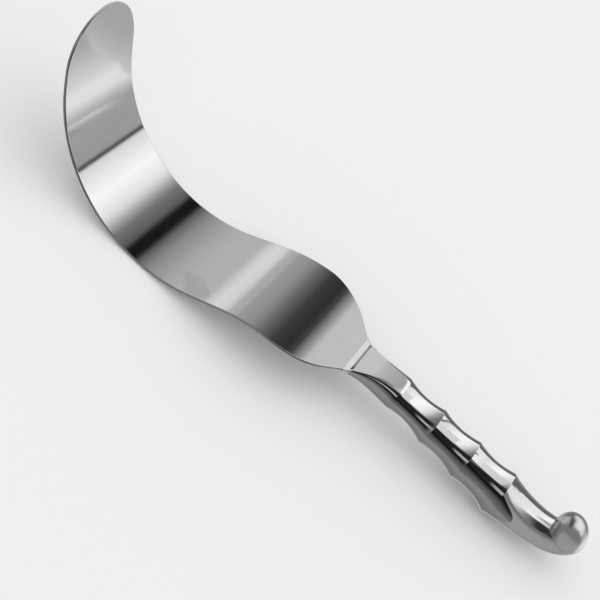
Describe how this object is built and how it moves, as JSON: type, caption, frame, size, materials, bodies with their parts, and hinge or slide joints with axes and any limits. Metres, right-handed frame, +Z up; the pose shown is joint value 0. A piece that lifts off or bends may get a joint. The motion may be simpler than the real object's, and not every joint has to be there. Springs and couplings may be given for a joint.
{
  "type": "deaver retractor",
  "caption": "Hand-held surgical retractor: a wide C-shaped steel blade with a round tip, a flat shank and a hollow scalloped handle that turns up into a bulb.",
  "frame": {"origin": "middle of the bounding box in plan, on the level that the hook's belly and the handle rest on", "axes": "+X from the blade's tip to the handle's end, +Y across the blade, +Z up, the side that the hook's tip and the bulb rise to"},
  "size_m": [0.305, 0.063, 0.077],
  "materials": {
    "blade_steel": "satin-polished stainless steel",
    "handle_steel": null,
    "braze_steel": "dressed and polished filler metal"
  },
  "bodies": {
    "root": {"blade": "blade_steel", "handle_left_shell": "handle_steel", "handle_right_shell": "handle_steel", "neck_braze": "braze_steel"}
  },
  "joints": []
}
